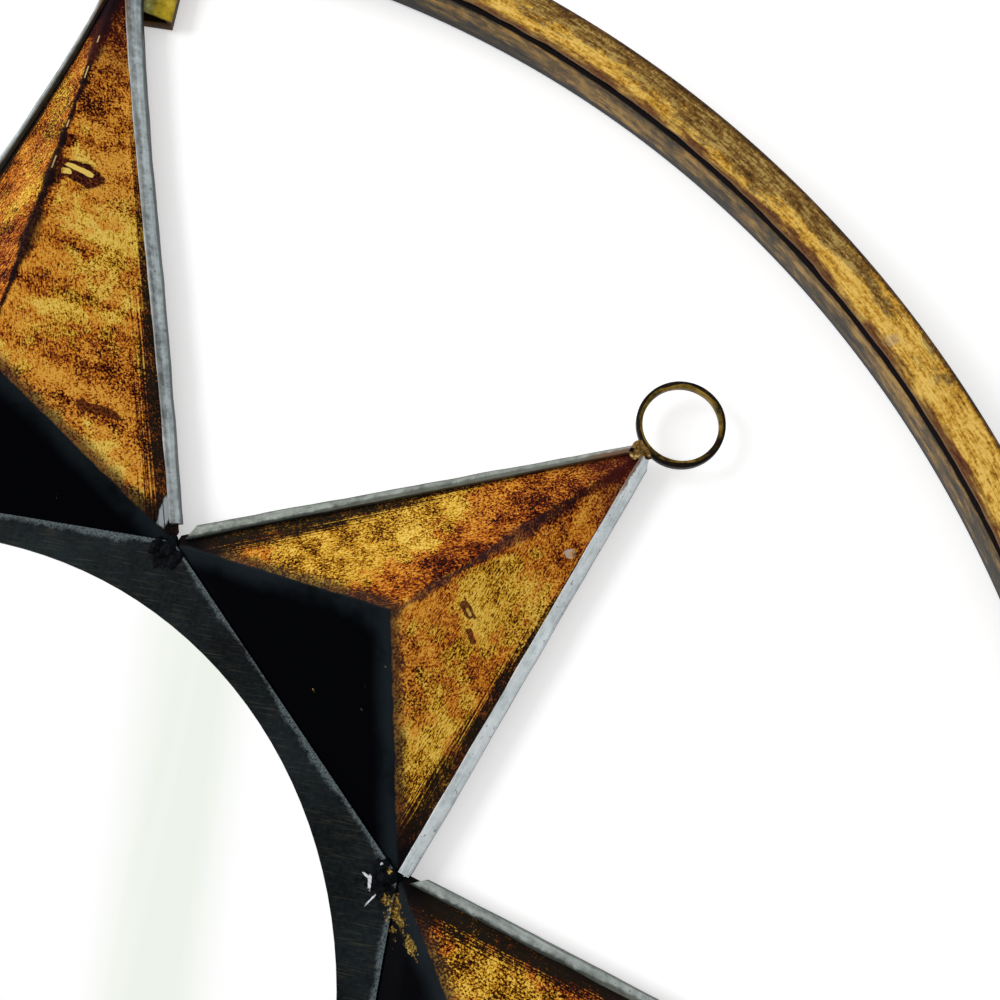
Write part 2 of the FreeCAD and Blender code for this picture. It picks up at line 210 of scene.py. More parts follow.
class Finish:
    def __init__(self, name, tree=None):
        self.material = None
        if tree is None:
            self.material = bpy.data.materials.new(name)
            self.material.use_nodes = True
            tree = self.material.node_tree
        self.tree = tree
        tree.nodes.clear()

    def node(self, kind, sockets, output=0, **settings):
        made = self.tree.nodes.new(kind)
        for name, value in settings.items():
            setattr(made, name, value)
        for name, value in sockets.items():
            if isinstance(value, Flow):
                self.tree.links.new(value.socket, made.inputs[name])
            else:
                made.inputs[name].default_value = value
        return Flow(self, made.outputs[output]) if len(made.outputs) else made

    def maths(self, operation, *values):
        return self.node("ShaderNodeMath", dict(enumerate(values)), operation=operation)

    def spot(self):  # place on the piece, in metres
        return self.node("ShaderNodeTexCoord", {}, "Object")

    def split(self, vector):
        return [self.node("ShaderNodeSeparateXYZ", {0: vector}, axis) for axis in "XYZ"]

    def attribute(self, name):
        return self.split(self.node("ShaderNodeAttribute", {}, "Vector", attribute_name=name))

    def noiseAt(self, vector, scale, detail, rough):
        return self.node("ShaderNodeTexNoise", {
            "Vector": vector, "Scale": scale, "Detail": detail, "Roughness": rough})

    def noise(self, scale, detail=2.0, rough=0.5):  # by the place on the piece, scale per metre
        return self.noiseAt(self.spot(), scale, detail, rough)

    def drawnNoise(self, x, y, z, detail=2.0, rough=0.5):  # by three values of its own, to draw it out
        vector = self.node("ShaderNodeCombineXYZ", {"X": x, "Y": y, "Z": z})
        return self.noiseAt(vector, 1.0, detail, rough)

    def fade(self, value, low, high):  # 0 below low, 1 above high, smooth between
        return self.node("ShaderNodeMapRange", {"Value": value, "From Min": low, "From Max": high},
                         interpolation_type="SMOOTHSTEP")

    def below(self, value, low, high):  # 1 below low, 0 above high
        return 1 - self.fade(value, low, high)

    def blend(self, share, first, second):
        sockets = {"Factor": share, 6: asColour(first), 7: asColour(second)}
        return self.node("ShaderNodeMix", sockets, 2, data_type="RGBA")

    def coat(self, colour, *coats):  # lays one tint after another over a colour, each with its share
        for share, tint in coats:
            colour = self.blend(share, colour, tint)
        return colour

    def ramp(self, value, *stops):
        made = self.node("ShaderNodeValToRGB", {"Fac": value})
        elements = made.socket.node.color_ramp.elements
        while len(elements) < len(stops):
            elements.new(0.5)
        for element, (place, colour) in zip(elements, stops):
            element.position = place
            element.color = (*colour, 1)
        return made

    def mark(self, x, z, middle, turn, halves, ragged):  # 1 on a rounded patch of the front, 0 off it
        cosine, sine = math.cos(math.radians(turn)), math.sin(math.radians(turn))
        right, up = x - middle[0] * mm, z - middle[1] * mm
        along = (right * cosine + up * sine) / (halves[0] * mm)
        across = (up * cosine - right * sine) / (halves[1] * mm)
        along, across = along * along, across * across
        gap = self.maths("POWER", along * along + across * across, 0.25)
        return self.below(gap + ragged, 0.8, 1.1)

    def bump(self, height, strength):  # height in metres
        return self.node("ShaderNodeBump", {"Height": height, "Distance": 1.0, "Strength": strength})

    def close(self, colour, **sockets):
        links = {"Base Color": asColour(colour)}
        links.update({name.replace("_", " "): value for name, value in sockets.items()})
        shader = self.node("ShaderNodeBsdfPrincipled", links)
        self.node("ShaderNodeOutputMaterial", {"Surface": shader})
        return self.material


def asColour(value):
    return value if isinstance(value, Flow) else (*value, 1)


# Finishes

# Single marks seen from the front: middle in millimetres, turn in degrees and half sizes in millimetres
goldMarks = {
    "bar": ((5.9, 216.0), -8, (3.7, 0.8)), "blob": ((3.2, 214.2), 20, (1.2, 0.9)),
    "barGround": ((6.4, 215.0), -8, (6.0, 3.4)), "smear": ((25.7, 151.5), 2, (5.6, 1.3)),
    "upperChip": ((128.7, 115.3), -52, (2.2, 1.3)), "upperChipMiddle": ((129.0, 115.0), -52, (1.2, 0.5)),
    "lowerChip": ((130.4, 109.7), -60, (2.0, 0.8)), "paleSpot": ((151.0, 135.5), 30, (1.3, 1.1)),
    "zincSmear": ((46.9, 130.6), 86, (4.0, 1.2))}
# Bare metal chips and gold daubs at the valley on the right, and how torn their edges are
valleyMarks = {"bare": [((115.9, 47.8), 97, (1.8, 0.42)), ((114.8, 49.5), -30, (1.3, 0.28)),
                        ((117.0, 44.2), 54, (2.0, 0.22)), ((118.0, 52.8), 30, (0.35, 0.3))],
               "gold": [((123.4, 41.6), -62, (4.4, 1.7)), ((128.2, 35.8), -48, (2.6, 0.8)),
                        ((120.1, 51.6), -40, (0.8, 0.5))],
               "torn": {"bare": 2.4, "gold": 5.0}}


def markValley(f, colour, x, z, grain):
    tear = f.noise(480.0, 3.0, 0.7)
    tints = {"bare": f.ramp(grain, (0.34, (0.3, 0.33, 0.35)), (0.58, (0.84, 0.87, 0.89))),
             "gold": f.ramp(grain, (0.42, (0.025, 0.014, 0.004)), (0.53, (0.2, 0.115, 0.018)),
                            (0.66, (0.6, 0.43, 0.13)))}
    for kind, tint in tints.items():
        for place in valleyMarks[kind]:
            mark = f.mark(x, z, *place, tear.sway(valleyMarks["torn"][kind]))
            colour = f.blend(mark, colour, tint)
    return colour


# Noise scales per metre, sizes of dabs, streaks and bands in metres, and what sets the tone of the paint
goldPaint = {
    "stipple": 1700.0, "speck": 3100.0, "blot": 260.0, "patch": 75.0, "hue": 36.0, "drawn": 28.0,
    "dab": (0.0012, 0.0004), "streak": (0.045, 0.0005), "band": (0.0055, 0.03), "wave": 0.014, "base": 0.75,
    "contrast": 6.0, "tone": 0.72, "tipStart": 0.016, "margin": 0.0062, "crest": 0.0024, "metal": 0.25,
    "specular": 0.012}


def goldSheetFinish():
    f = Finish("sponged_gold_sheet")
    look = goldPaint
    out, toTip, seed = f.attribute("sheetPlace")
    edge, ridgeSide, fold = f.attribute("sheetEdges")
    paintAndLight, soil = f.attribute("sheetPaintAndLight")[:2]
    x, y, z = f.split(f.spot())
    ridge = f.maths("ABSOLUTE", ridgeSide)
    rightOfRidge = f.below(ridgeSide, -0.0003, 0.0003)
    share = out / (out + toTip)
    isLong = f.fade(out + toTip, 0.13, 0.15)
    isShort, leftOfRidge = 1 - isLong, 1 - rightOfRidge
    banded = isLong * rightOfRidge
    tipGap = toTip - isLong * look["tipStart"]
    # dabs of paint: fine stipple, drawn out along the ray in places, over patches and bands across the ray
    stipple = f.noise(look["stipple"], 3.0, 0.7)
    speck = f.noise(look["speck"], 1.0)
    blot = f.noise(look["blot"])
    patch = f.noise(look["patch"], 3.0, 0.6)

    def strokes(size, turn, detail, rough, wave=0.0):  # noise drawn out along or across the ray
        length, width = look[size]
        return f.drawnNoise((out + wave) / length, edge / width, seed * turn, detail, rough)

    dabs = strokes("dab", 7, 2.0, 0.6)
    streak = strokes("streak", 5, 1.0, 0.5)
    bands = strokes("band", 3, 2.0, 0.5, patch.sway(look["wave"]))
    drawn = f.fade(f.noise(look["drawn"], 1.0) + (0.45 - share) * 0.2, 0.46, 0.62)
    drawn = drawn * (0.55 - isLong * 0.1)
    grain = stipple + (dabs - stipple) * drawn
    # dark places: dry-brushed beside the strip near the foot, along the ridge, by the foot fold, at the tip
    taper = f.below(share, 0.05, 0.85)
    broad = soil * 0.0016 + leftOfRidge * isShort * taper * 0.0018
    margin = f.below(edge / (look["margin"] * taper + 0.0005 + broad) + streak.sway(2.0), 0.45, 1.15)
    clean = 1 - f.fade(toTip, 0.01, 0.035) * (1 - f.fade(share, 0.35, 0.7) * 0.4)
    margin = margin * (1 - clean * (1 - soil))
    crestNoise = f.drawnNoise(out / 0.02, seed, 0.0, 1.0)
    crestGrow = isLong * 1.25 + isShort * (0.85 + f.fade(share, 0.5, 0.75) * 0.6)
    crestWidth = (0.0006 + f.fade(crestNoise, 0.42, 0.7) * look["crest"]) * crestGrow
    crestLine = f.maths("ABSOLUTE", ridgeSide + isShort * 0.0012)
    crest = f.below((crestLine + blot.sway(0.0024)) / crestWidth, 0.4, 1.5)
    halo = f.below(ridge + blot.sway(0.003), 0.0005, 0.0055)
    wideHalo = f.below(ridge, 0.001, 0.011)
    maroon = f.below(ridge + blot.sway(0.003), 0.0012, 0.0044)
    maroon = maroon * rightOfRidge * f.fade(share, 0.4, 0.6)
    flush = f.below(ridge, 0.002, 0.016) * leftOfRidge * isShort
    tipRed = f.below(tipGap + patch.sway(0.03), 0.012 - isLong * 0.001, 0.03 - isLong * 0.003)
    tipDark = f.below(tipGap + blot.sway(0.01), -0.003, 0.013)
    hue = f.noise(look["hue"], 3.0, 0.6) + patch.sway(0.5) + blot.sway(0.6) + isLong * 0.05
    hue = hue + f.below(edge, 0.005, 0.024) * banded * 0.06
    red = f.fade(hue + tipRed * 0.4 + wideHalo * 0.06 + flush * 0.42 + maroon * 0.4, 0.45, 0.6)
    # the level takes each face's paint level, which also holds painted light
    level = look["base"] + paintAndLight + grain.sway(look["contrast"] + banded * 0.6) + speck.sway(1.5)
    level = level + blot.sway(1.5) + patch.sway(1.8) + bands.sway(1.3 + banded * 1.2) + streak.sway(0.7)
    level = level - red * (0.28 + banded * 0.1) - flush * 0.06 - margin * 0.95 - halo * 0.06 - crest * 0.2
    level = level - maroon * 0.22 - tipRed * 0.2 - tipDark * (0.55 + isLong * 0.25 + leftOfRidge * 0.4)
    marks = {name: f.mark(x, z, *place, blot.sway(1.4)) for name, place in goldMarks.items()}
    bar = f.fade(marks["bar"] + marks["blob"], 0.0, 1.0)
    level = level + bar
    red = red * (1 - bar)
    chips = marks["upperChip"] * (1 - marks["upperChipMiddle"] * 0.7) + marks["lowerChip"] + marks["smear"]
    tone = level * look["tone"]
    yellow = f.ramp(
        tone, (0.0, (0.014, 0.005, 0.003)), (0.12, (0.1, 0.03, 0.004)), (0.25, (0.24, 0.08, 0.006)),
        (0.38, (0.46, 0.165, 0.01)), (0.5, (0.68, 0.335, 0.022)), (0.64, (0.82, 0.475, 0.042)),
        (0.84, (0.91, 0.575, 0.072)), (1.0, (0.98, 0.69, 0.15)))
    copper = f.ramp(
        tone, (0.0, (0.016, 0.004, 0.003)), (0.14, (0.125, 0.018, 0.009)), (0.27, (0.27, 0.048, 0.01)),
        (0.4, (0.44, 0.095, 0.01)), (0.54, (0.61, 0.185, 0.014)), (0.75, (0.75, 0.3, 0.025)),
        (1.0, (0.88, 0.45, 0.07)))
    darkTint = f.blend(f.fade(share, 0.55, 0.85) + isLong, (0.062, 0.03, 0.029), (0.009, 0.005, 0.006))
    scarRed = f.ramp(
        grain, (0.42, (0.012, 0.003, 0.003)), (0.53, (0.075, 0.014, 0.009)), (0.62, (0.22, 0.06, 0.014)),
        (0.72, (0.6, 0.28, 0.04)))
    chipBrown = f.ramp(grain, (0.42, (0.04, 0.009, 0.005)), (0.6, (0.2, 0.05, 0.012)))
    tipBlack = f.below(tipGap + blot.sway(0.012), 0.003, 0.014) * isLong
    tipBlack = tipBlack * (1 - rightOfRidge * f.fade(ridge, 0.0008, 0.004))
    # painted highlights: bright dashes on the ridges of the long rays, where the sharp fold catches light
    ridgeHighlight = f.fade(f.drawnNoise(out / 0.006, seed * 9, 0.0, 0.0), 0.58, 0.61) * isLong
    ridgeHighlight = ridgeHighlight * f.below(ridge, 0.00015, 0.0004) * f.fade(share, 0.52, 0.6) * f.below(share, 0.84, 0.9)
    hem = f.below(fold + blot.sway(0.003) + grain.sway(0.003), 0.001, 0.0044)
    corner = f.below(out + blot.sway(0.006), 0.003, 0.012)
    gold = f.coat(
        yellow, (red, copper), (crest * (0.65 + isLong * 0.3), darkTint),
        (tipRed * (0.6 - isLong * 0.25), (0.1, 0.016, 0.014)),
        (margin * (0.58 + soil * 0.22), (0.017, 0.017, 0.011)),
        (f.fade(marks["barGround"] * (1 - bar), 0.0, 0.9), scarRed),
        (f.fade(chips, 0.0, 0.8) * 0.95, chipBrown), (tipBlack * 0.85, (0.012, 0.008, 0.011)),
        (ridgeHighlight * 0.9, (0.78, 0.54, 0.24)), (hem * 0.8, (0.035, 0.022, 0.017)),
        (corner * 0.9, (0.002, 0.002, 0.003)),
        (marks["paleSpot"] * f.fade(blot, 0.2, 0.5) * 0.85, (0.66, 0.54, 0.47)),
        (marks["zincSmear"] * f.fade(streak, 0.3, 0.45), (0.42, 0.47, 0.49)))
    # gloss black foot face with a painted sheen along the folds and a few gold specks
    foldSheen = f.fade(fold + patch.sway(0.003), -0.0065, -0.0006) * f.fade(patch, 0.2, 0.6)
    specks = f.fade(blot * 0.5 + patch * 0.3 + stipple * 0.2, 0.655, 0.68)
    black = f.coat((0.0003, 0.0004, 0.001), (foldSheen, (0.0095, 0.0135, 0.017)), (specks, (0.4, 0.26, 0.07)))
    black = markValley(f, black, x, z, grain)
    onGold = f.fade(fold + blot.sway(0.0012), -0.0004, 0.0005)
    shine = f.fade(level, 0.3, 0.9) * onGold
    rough = 0.3 + onGold * 0.15 + grain.sway(0.25) * onGold
    height = grain * 0.0006 * onGold + blot * 0.0003
    return f.close(
        f.blend(onGold, black, gold), Roughness=rough, Metallic=shine * look["metal"],
        Specular_IOR_Level=look["specular"], Normal=f.bump(height, 0.25))


def zincFinish():
    f = Finish("dull_zinc")
    along, across, lift = f.attribute("stripPlace")
    tone, seed, innerDark = f.attribute("stripLitTone")
    mottle = f.noise(420.0, 4.0, 0.65)
    cloud = f.noise(70.0)
    drawn = f.drawnNoise(along / 0.09, across / 0.16, seed)
    shade = 0.5 + mottle.sway(1.2) + cloud.sway(0.9) + drawn.sway(0.7)
    # painted reflection: the inner ramp is the darker inner half, the outer ramp the lighter outer half, and
    # the bright ramp a strip painted light all over
    inner = f.ramp(shade, (0.2, (0.11, 0.12, 0.12)), (0.5, (0.25, 0.272, 0.275)), (0.85, (0.46, 0.5, 0.505)))
    outer = f.ramp(shade, (0.2, (0.22, 0.255, 0.265)), (0.5, (0.42, 0.48, 0.5)), (0.85, (0.6, 0.67, 0.69)))
    bright = f.ramp(shade, (0.15, (0.5, 0.56, 0.59)), (0.5, (0.74, 0.81, 0.84)), (0.85, (0.86, 0.91, 0.93)))
    # painted reflection: most strips take the inner and outer ramps, darker on the inner half and lighter on
    # the outer, and one takes the bright ramp all over; along the inner side of the left-hand strips the
    # colour also goes near black, most by the foot
    innerShaded, innerBlackened = f.fade(innerDark, 0.0, 0.5), f.fade(innerDark, 0.5, 1.0)
    pale = f.blend(f.fade(across + mottle.sway(0.5), 0.3, 0.55), inner, outer)
    pale = f.blend(innerShaded, bright, pale)
    dull = f.ramp(
        shade, (0.15, (0.11, 0.125, 0.105)), (0.5, (0.28, 0.315, 0.275)), (0.85, (0.46, 0.5, 0.45)))
    worn = f.fade(lift, 0.82, 0.97) * f.below(across, 0.05, 0.2)
    far = f.fade(along + cloud.sway(0.2), 0.24, 0.42)
    # a near-black band along the inner side of the left-hand strips, darkest by the foot
    innerBlack = innerBlackened * f.below(across - far * 0.2 + mottle.sway(0.35), 0.12, 0.36)
    darkTint = f.blend(far, (0.012, 0.017, 0.013), (0.075, 0.078, 0.055))
    spillEdge = innerBlackened * 0.4
    spill = f.below(across + mottle.sway(0.6), 0.16 + spillEdge, 0.3 + spillEdge) * f.fade(along, 0.84, 0.93)
    # painted shade: a darker line along the outer rounded edge, and the low part of the strip by the slot
    # and the board near black
    rimShade = f.fade(across + cloud.sway(0.25), 0.82, 0.93) * innerShaded
    slotShade = f.below(lift, 0.3, 0.42)
    pits = f.fade(f.noise(900.0, 1.0), 0.7, 0.75)
    colour = f.coat(
        dull, (tone, pale), (worn * 0.4 * (1 - innerBlackened), (0.6, 0.64, 0.62)),
        (innerBlack * (0.95 - far * 0.2), darkTint), (spill * 0.9, (0.16, 0.075, 0.034)),
        (rimShade * 0.75, (0.075, 0.09, 0.088)), (slotShade * 0.85, (0.03, 0.034, 0.036)),
        (pits * 0.6, (0.08, 0.08, 0.085)))
    return f.close(
        colour, Roughness=0.45 + mottle.sway(0.3), Metallic=0.3, Specular_IOR_Level=0.3,
        Normal=f.bump(mottle * 0.0008 + drawn * 0.0004, 0.35))


# Radii and depths in metres where the hoop's finish changes, among them the painted shade at the foot of the
# wall and inside the rolled seam, and a pale stain
hoopBands = {
    "lip": (0.2967, 0.2986), "rim": (0.3062, 0.3081), "outer": (0.3074, 0.3078), "front": (0.0205, 0.0214),
    "floor": (0.003, 0.0058), "seam": (0.0181, 0.0185), "bottom": (0.0006, 0.0012), "middle": 0.3025,
    "half": 0.0062, "wallLean": 2.7 / 19.2, "wallBack": 0.2985, "stain": ((223.0, 200.6), 30, (2.9, 2.4))}


def hoopFinish():
    f = Finish("streaked_hoop_gold")
    x, y, z = f.split(f.spot())
    radius = f.maths("SQRT", x * x + z * z)
    cosine, sine = x / radius, z / radius
    depth = 0 - y

    def streaks(length, width, detail=2.0):  # noise drawn out along the hoop
        turn = hoopBands["middle"] / length
        return f.drawnNoise(cosine * turn, sine * turn, (radius - depth * 0.9) / width, detail, 0.6)

    stipple = f.noise(1300.0, 2.0, 0.65)
    fine = streaks(0.004, 0.0006)
    strokes = streaks(0.012, 0.0022)
    patch = streaks(0.035, 0.008, 4.0)
    regions = streaks(0.08, 0.03)
    onFront = f.fade(depth, *hoopBands["front"])
    outward = (radius - hoopBands["middle"]) / hoopBands["half"]
    upper = f.fade(sine - cosine, -0.08, 0.2) - 0.5
    worn = f.fade(patch + regions.sway(0.7) + outward * 0.16 + upper * 0.26 + fine.sway(0.5), 0.59, 0.7)
    rim = f.fade(radius + fine.sway(0.002), *hoopBands["rim"]) * onFront
    lip = f.below(radius + strokes.sway(0.006), *hoopBands["lip"]) * onFront
    level = 0.82 + fine.sway(1.4) + stipple.sway(1.1) + strokes.sway(0.9) - rim * 0.5
    front = f.ramp(
        level, (0.05, (0.02, 0.01, 0.004)), (0.3, (0.13, 0.06, 0.01)), (0.5, (0.34, 0.155, 0.018)),
        (0.75, (0.64, 0.35, 0.045)), (1.0, (0.86, 0.56, 0.13)))
    brown = f.ramp(
        level - 0.14, (0.1, (0.025, 0.014, 0.006)), (0.45, (0.115, 0.055, 0.014)),
        (0.7, (0.23, 0.125, 0.028)), (0.95, (0.46, 0.31, 0.09)))
    stain = f.mark(x, z, *hoopBands["stain"], patch.sway(2.5))
    front = f.coat(
        front, (f.fade(worn + rim * 0.8, 0.2, 0.9), brown), (stain * 0.3, (0.5, 0.42, 0.33)),
        (lip * 0.85, (0.068, 0.013, 0.017)))
    mottle = f.noise(210.0, 4.0, 0.65)
    wallLevel = 0.47 + strokes.sway(0.7) + fine.sway(0.4) + patch.sway(1.8) + mottle.sway(1.4)
    wall = f.ramp(
        wallLevel, (0.1, (0.018, 0.015, 0.01)), (0.35, (0.065, 0.046, 0.02)), (0.55, (0.17, 0.1, 0.03)),
        (0.85, (0.42, 0.25, 0.065)))
    # painted shade: the wall goes near black at its foot, against the board
    wall = f.blend(f.below(depth, *hoopBands["floor"]), wall, (0.014, 0.013, 0.013))
    colour = f.blend(onFront, wall, front)
    # painted shade: the seam's gap above the fold, and everything inside the rolled section, go near black
    behindWall = f.fade(radius - hoopBands["wallBack"] + depth * hoopBands["wallLean"], 0.0004, 0.0007)
    inFromOuter = f.below(radius, *hoopBands["outer"])
    inside = behindWall * inFromOuter * f.fade(depth, *hoopBands["bottom"])
    seam = f.fade(depth, *hoopBands["seam"]) * inFromOuter
    dark = f.fade(inside + seam, 0.0, 1.0) * (1 - onFront)
    colour = f.blend(dark, colour, (0.003, 0.0012, 0.0025))
    return f.close(
        colour, Roughness=0.45 + fine.sway(0.25), Metallic=onFront * 0.25, Specular_IOR_Level=0.06,
        Normal=f.bump(fine * 0.0004 + stipple * 0.0004, 0.3))


# Where the outer edge is worn, in metres from the middle, and the turn and seed of the brushed lines
plateMarks = {"wornEdge": (0.1206, 0.122), "lines": ((1.52, 1.0), (1.6, 4.0))}


def plateFinish():
    f = Finish("scratched_slate_black")
    x, y, z = f.split(f.spot())
    radius = f.maths("SQRT", x * x + z * z)
    folded = f.maths("WRAP", f.maths("ARCTAN2", z, x), -sector / 2, sector / 2)
    reach = radius * f.maths("COSINE", folded)
    cloud = f.noise(50.0, 3.0, 0.6)
    fine = f.noise(900.0, 2.0, 0.6)
    colour = f.ramp(
        cloud * 0.6 + fine * 0.4, (0.36, (0.0001, 0.0004, 0.0008)), (0.64, (0.011, 0.0165, 0.0185)))
    grit = f.noise(1900.0, 2.0, 0.6)
    worn = f.fade(reach + fine.sway(0.002) + cloud.sway(0.007), *plateMarks["wornEdge"])
    colour = f.blend(worn * f.fade(grit, 0.28, 0.6), colour, (0.12, 0.15, 0.16))
    for turn, seed in plateMarks["lines"]:
        across = x * math.cos(turn) + z * math.sin(turn)
        along = z * math.cos(turn) - x * math.sin(turn)
        line = f.drawnNoise(across / 0.0004, along / 0.009, seed, 1.0)
        colour = f.blend(f.fade(line, 0.6, 0.76) * 0.5, colour, (0.055, 0.052, 0.036))
    colour = markValley(f, colour, x, z, fine)
    return f.close(
        colour, Roughness=0.42 + cloud.sway(0.2), Specular_IOR_Level=0.06,
        Normal=f.bump(fine * 0.0003 + cloud * 0.002, 0.2))


def ringFinish():
    f = Finish("bronzed_ring")
    outward = f.attribute("ringPlace")[0]
    fine = f.noise(700.0, 3.0, 0.6)
    cloud = f.noise(110.0)
    dark = f.ramp(
        fine * 0.5 + cloud * 0.5, (0.4, (0.0012, 0.0012, 0.001)), (0.6, (0.012, 0.006, 0.003)),
        (0.74, (0.16, 0.07, 0.016)))
    olive = f.ramp(
        0.5 + fine.sway(1.2) + cloud.sway(2.2), (0.15, (0.012, 0.006, 0.002)), (0.5, (0.14, 0.085, 0.008)),
        (0.85, (0.3, 0.19, 0.03)))
    colour = f.blend(f.fade(outward + cloud.sway(1.3), 0.4, 0.56), olive, dark)
    return f.close(
        colour, Roughness=0.35 + fine.sway(0.2), Metallic=0.1, Specular_IOR_Level=0.06,
        Normal=f.bump(fine * 0.0005, 0.3))


def bracketFinish():
    f = Finish("olive_gold_bracket")
    fine = f.noise(800.0, 3.0, 0.6)
    cloud = f.noise(150.0, 3.0, 0.6)
    across, lift, aside = f.attribute("bracketPlace")
    level = 0.5 + fine.sway(0.8) + cloud.sway(1.6)
    green = f.ramp(level, (0.1, (0.03, 0.028, 0.006)), (0.45, (0.14, 0.13, 0.02)), (0.95, (0.4, 0.38, 0.16)))
    yellow = f.ramp(
        level, (0.05, (0.14, 0.09, 0.006)), (0.45, (0.42, 0.3, 0.013)), (0.95, (0.68, 0.5, 0.07)))
    front = f.blend(f.fade(across + cloud.sway(0.8), -0.85, -0.35), yellow, green)
    side = f.ramp(level, (0.1, (0.03, 0.012, 0.003)), (0.5, (0.2, 0.08, 0.01)), (0.85, (0.45, 0.23, 0.035)))
    # painted shade: the tray's long side walls are darkened
    side = f.blend(f.fade(aside, 0.6, 0.9) * 0.8, side, (0.03, 0.016, 0.008))
    colour = f.blend(f.fade(lift, 0.8, 0.86), side, front)
    return f.close(
        colour, Roughness=0.42 + fine.sway(0.2), Metallic=0.2, Specular_IOR_Level=0.08,
        Normal=f.bump(fine * 0.0005, 0.3))


# A hole in one ring weld, painted as a dark spot of shade, placed like the marks above
weldHoleShade = ((162.3, 165.1), 20, (0.85, 0.65))


def weldFinish(name, dark, mid, fleck, share):
    f = Finish(name)
    x, y, z = f.split(f.spot())
    fine = f.noise(700.0, 3.0, 0.6)
    cloud = f.noise(130.0)
    crust = f.noise(1500.0, 2.0, 0.7)
    colour = f.ramp(0.5 + fine.sway(0.8) + cloud.sway(0.5) + crust.sway(0.8), (0.36, dark), (0.64, mid))
    flecks = f.fade(crust * 0.35 + fine * 0.3 + f.noise(90.0) * 0.35, share, share + 0.04)
    # painted shade: a dark spot for the hole
    hole = f.mark(x, z, *weldHoleShade, fine.sway(0.8))
    colour = f.coat(colour, (flecks, fleck), (hole, (0.004, 0.002, 0.002)))
    colour = markValley(f, colour, x, z, fine)
    return f.close(
        colour, Roughness=0.35 + fine.sway(0.3), Metallic=flecks * 0.2, Specular_IOR_Level=0.025,
        Normal=f.bump(fine * 0.001, 0.5))


# A painted reflection, a soft green band in the glass: middle in millimetres, lean, and half width in metres
mirrorReflection = {"middle": (65.0, 60.0), "lean": -0.085, "half": (0.004, 0.019)}


def mirrorFinish():
    f = Finish("silvered_glass")
    x, y, z = f.split(f.spot())
    right, up = mirrorReflection["middle"]
    aside = f.maths("ABSOLUTE", x - right * mm - (z - up * mm) * mirrorReflection["lean"])
    # painted reflection: a soft greenish band across the glass
    band = f.below(aside, *mirrorReflection["half"])
    reflectionBand = band * (0.5 + f.drawnNoise(x / 0.008, 0.0, z / 0.3, 1.0))
    dust = f.fade(f.noise(1500.0, 1.0), 0.78, 0.82)
    colour = f.blend(reflectionBand, (1.0, 1.0, 1.0), (0.86, 0.9, 0.83))
    return f.close(f.blend(dust * 0.3, colour, (0.6, 0.62, 0.6)), Roughness=0.03 + dust * 0.3, Metallic=1.0)


def sheetFinish(name, dark, pale, rough, metal, size=120.0):
    f = Finish(name)
    cloud = f.noise(size, 4.0, 0.6)
    fine = f.noise(size * 8, 2.0, 0.6)
    colour = f.ramp(cloud * 0.6 + fine * 0.4, (0.32, dark), (0.68, pale))
    return f.close(
        colour, Roughness=rough + fine.sway(0.2), Metallic=metal,
        Normal=f.bump(fine * 0.0004 + cloud * 0.0008, 0.25))


goldSheet = goldSheetFinish()
dullZinc = zincFinish()
hoopGold = hoopFinish()
bronzeRing = ringFinish()
bracketGold = bracketFinish()
weldBlack = weldFinish(
    "lumpy_black_weld", (0.0004, 0.0006, 0.001), (0.004, 0.005, 0.007), (0.42, 0.28, 0.07), 0.62)
weldGold = weldFinish("crusty_gold_weld", (0.025, 0.01, 0.005), (0.3, 0.17, 0.045), (0.66, 0.48, 0.19), 0.54)
print("finishes made")


# Rays: a three-sided cone pulled to the pyramid's corners, with lips, soft folds and slight dents

rayShape = {
    "foot": 122.6, "cornerGap": 0.6, "short": 111.8, "long": 162.4, "peakOut": 34.7, "peakHigh": 23.0,
    "front": 7.1, "sheet": 0.8, "lip": 1.7, "fold": 0.8, "cell": 6.0, "dent": 0.5, "dentSize": 13.0,
    "hollow": {("top", "left"): 2.65, ("top", "right"): 1.35}, "hollowPeak": 256 / 27,
    "soil": {"top_left": 1.0},
    # Paint level per face, which also holds painted light: faces turned away from the key are painted
    # brighter, faces turned to it darker
    "paintAndLight": {"left": -0.02, "right": 0.16, "top_left": -0.06, "top_right": 0.44, "right_left": -0.24}}
footHalf = rayShape["foot"] * math.tan(sector / 2) - rayShape["cornerGap"] / math.cos(sector / 2)
dents = makeWobble("dents", rayShape["dentSize"])


def rayCorners(length):
    foot, front = rayShape["foot"], rayShape["front"]
    peak = Vector((foot + rayShape["peakOut"], 0, front + rayShape["peakHigh"])) * mm
    left = Vector((foot, footHalf, front)) * mm
    right = Vector((foot, -footHalf, front)) * mm
    tip = Vector((foot + length, 0, front)) * mm
    return peak, left, right, tip


